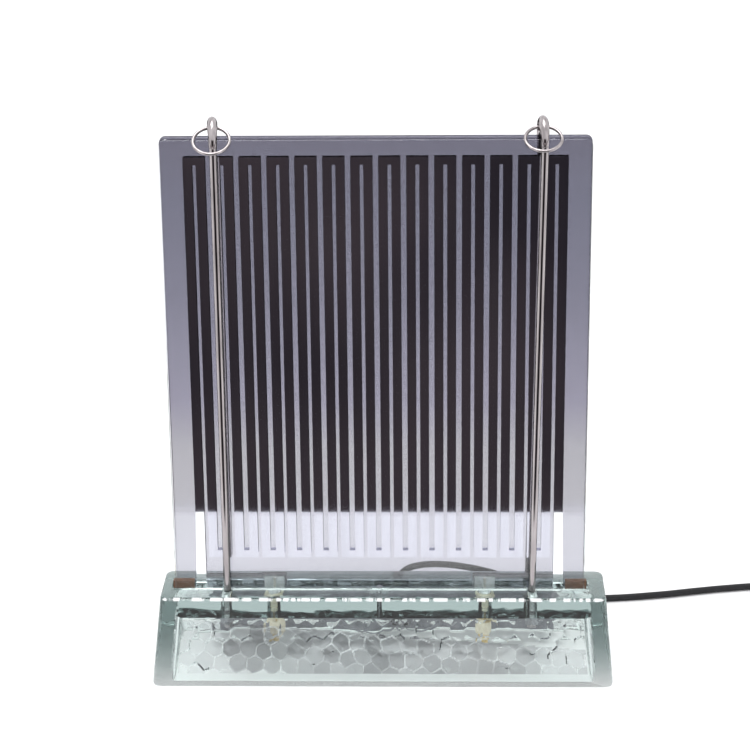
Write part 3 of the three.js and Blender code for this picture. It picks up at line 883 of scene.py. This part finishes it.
# Painted light and shade for the rear plate: lighter toward the bottom, darker toward the top.
REAR_PLATE_PAINTED_SHADE = [
    (0.0, (0.50, 0.50, 0.56)),
    (0.12, (0.47, 0.47, 0.52)),
    (0.165, (0.46, 0.46, 0.51)),
    (0.208, (0.45, 0.445, 0.475)),
    (0.318, (0.41, 0.405, 0.435)),
    (0.43, (0.30, 0.288, 0.357)),
    (0.65, (0.217, 0.213, 0.27)),
    (0.867, (0.182, 0.182, 0.235)),
    (0.985, (0.175, 0.171, 0.219)),
]
CLEAR_TINT = [(0.0, (0.985, 0.99, 0.99)), (1.0, (0.975, 0.98, 0.985))]

LOOKS = {
    "moulded_glass": moulded_glass(),
    "front_plate": plate_glass("front_plate_glass", CLEAR_TINT),
    "rear_plate": plate_glass("rear_plate_glass", REAR_PLATE_PAINTED_SHADE),
    "film": metal_film(),
    "plating": plating(),
    "steel": dull_metal("dull_steel", (0.20, 0.20, 0.22), (0.42, 0.42, 0.45)),
    "brass": dull_metal("brass", (0.42, 0.30, 0.12), (0.66, 0.50, 0.24), 0.2, 0.4),
    "fibre": grainy("brown_fibre", (0.075, 0.035, 0.020), (0.21, 0.11, 0.065), 420, 0.6, 0.9, 0.0002),
    "steatite": grainy("steatite", (0.62, 0.54, 0.40), (0.80, 0.74, 0.60), 300, 0.4, 0.65, 0.0001),
    "pale_block": pale_block(),
    "grey_board": grainy("grey_board", (0.13, 0.13, 0.15), (0.34, 0.34, 0.38), 70, 0.75, 0.95, 0.0003),
    "rubber": grainy("black_rubber", (0.010, 0.010, 0.011), (0.028, 0.028, 0.031), 500, 0.4, 0.65, 0.0001),
    "bakelite": grainy("bakelite", (0.010, 0.008, 0.007), (0.035, 0.022, 0.015), 160, 0.14, 0.28, 0.00005),
    "cord": cord_rubber(),
    "cotton": grainy("grey_cotton", (0.16, 0.16, 0.18), (0.32, 0.32, 0.35), 900, 0.8, 0.95, 0.0002),
}


def paint(piece, look):
    piece.data.materials.clear()
    piece.data.materials.append(LOOKS[look])


def paint_nodes():
    """Every CAD node that is still shown gets its material, by the start of its name."""
    by_start = {
        "front_plate": "front_plate",
        "rear_plate": "rear_plate",
        "front_film": "film",
        "rear_film": "film",
        "corner_spacer": "fibre",
        "terminal_block": "pale_block",
        "terminal_bolt": "brass",
        "terminal_lug": "brass",
        "terminal_nut": "brass",
        "strap": "steel",
        "ceramic": "steatite",
        "centre": "steel",
        "board_bracket": "steel",
        "lining_board": "grey_board",
        "rod_bush": "pale_block",
        "rod_washer": "steel",
        "rod_nut": "steel",
        "gland_nut": "steel",
        "lead": "cotton",
        "plug_pin": "brass",
    }
    for name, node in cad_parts.items():
        for start, look in by_start.items():
            if name.startswith(start):
                for slot in node.material_slots:
                    slot.material = LOOKS[look]


paint_nodes()
paint(base_glass, "moulded_glass")
for piece in plated:
    paint(piece, "plating")
paint(ribbed_relief, "rubber")
paint(plug_shell, "bakelite")
paint(supply_cord, "cord")

SOFT_EDGES = {"terminal_block": 0.0006, "corner_spacer": 0.0004, "rod_nut": 0.0004, "terminal_nut": 0.0003}
for name, width in SOFT_EDGES.items():
    for node_name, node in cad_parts.items():
        if node_name.startswith(name):
            bevel = node.modifiers.new("soft_edges", "BEVEL")
            bevel.width = width
            bevel.segments = 2
            bevel.limit_method = "ANGLE"
            bevel.angle_limit = math.radians(35)

# Light passes through the glass to what is behind it.
for glass in (base_glass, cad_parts["front_plate"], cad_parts["rear_plate"]):
    glass.visible_shadow = False


# ---------------------------------------------------------------- studio
def pale_floor():
    look = Shader("pale_floor", Roughness=0.6)
    look.color(look.ramp(look.noise(3, 3), [(0.3, (0.87, 0.87, 0.875)), (0.7, (0.885, 0.885, 0.89))]))
    return look.material


TABLE_EDGE = 0.29  # the pale table top is mirrored only this far to the front and rear


def add_floor():
    material = pale_floor()
    far = 4.0
    strips = {
        "table_top": ((-far, -TABLE_EDGE), (far, -TABLE_EDGE), (far, TABLE_EDGE), (-far, TABLE_EDGE)),
        "floor_front": ((-far, -far), (far, -far), (far, -TABLE_EDGE), (-far, -TABLE_EDGE)),
        "floor_rear": ((-far, TABLE_EDGE), (far, TABLE_EDGE), (far, far), (-far, far)),
    }
    for name, outline in strips.items():
        floor = make_object(name, [(x, y, 0) for x, y in outline], [(0, 1, 2, 3)])
        floor.data.materials.append(material)
        if name != "table_top":
            floor.visible_glossy = False


def add_world():
    """White above the horizon. Below it, what mirrors see is a dim brown room to the front and rear."""
    world = bpy.data.worlds.new("studio")
    bpy.context.scene.world = world
    world.use_nodes = True
    nodes, links = world.node_tree.nodes, world.node_tree.links
    background = nodes["Background"]
    direction = nodes.new("ShaderNodeTexCoord").outputs["Generated"]
    split = nodes.new("ShaderNodeSeparateXYZ")
    links.new(direction, split.inputs[0])
    noise = nodes.new("ShaderNodeTexNoise")
    noise.inputs["Scale"].default_value = 5
    links.new(direction, noise.inputs["Vector"])
    room = nodes.new("ShaderNodeValToRGB")
    room.color_ramp.elements[0].position = 0.42
    room.color_ramp.elements[0].color = (0.026, 0.022, 0.026, 1)
    room.color_ramp.elements[1].position = 0.66
    room.color_ramp.elements[1].color = (0.085, 0.066, 0.068, 1)
    links.new(noise.outputs["Fac"], room.inputs["Fac"])
    sideways = nodes.new("ShaderNodeMath")
    sideways.operation = "ABSOLUTE"
    links.new(split.outputs["X"], sideways.inputs[0])
    to_side = nodes.new("ShaderNodeMapRange")
    to_side.inputs["From Min"].default_value = 0.45
    to_side.inputs["From Max"].default_value = 0.62
    links.new(sideways.outputs[0], to_side.inputs["Value"])
    above = nodes.new("ShaderNodeMapRange")
    above.inputs["From Min"].default_value = -0.01
    above.inputs["From Max"].default_value = 0.05
    links.new(split.outputs["Z"], above.inputs["Value"])
    bright = nodes.new("ShaderNodeMath")
    bright.operation = "MAXIMUM"
    links.new(to_side.outputs[0], bright.inputs[0])
    links.new(above.outputs[0], bright.inputs[1])
    mix = nodes.new("ShaderNodeMix")
    mix.data_type = "RGBA"
    links.new(bright.outputs[0], mix.inputs["Factor"])
    links.new(room.outputs["Color"], mix.inputs["A"])
    mix.inputs["B"].default_value = (0.95, 0.95, 0.96, 1)
    links.new(mix.outputs["Result"], background.inputs["Color"])
    background.inputs["Strength"].default_value = 1.25


def add_softbox(name, place, aim, size, power):
    light = bpy.data.lights.new(name, "AREA")
    light.shape = "SQUARE"
    light.size = size
    light.energy = power
    lamp = bpy.data.objects.new(name, light)
    lamp.location = place
    lamp.rotation_euler = (Vector(aim) - Vector(place)).to_track_quat("-Z", "Y").to_euler()
    bpy.context.collection.objects.link(lamp)


add_floor()
add_world()
add_softbox("softbox_over", (-0.3, -0.2, 2.2), (0, 0, 0.1), 1.6, 26)
bpy.context.scene.view_settings.view_transform = "Standard"

bpy.context.view_layer.update()
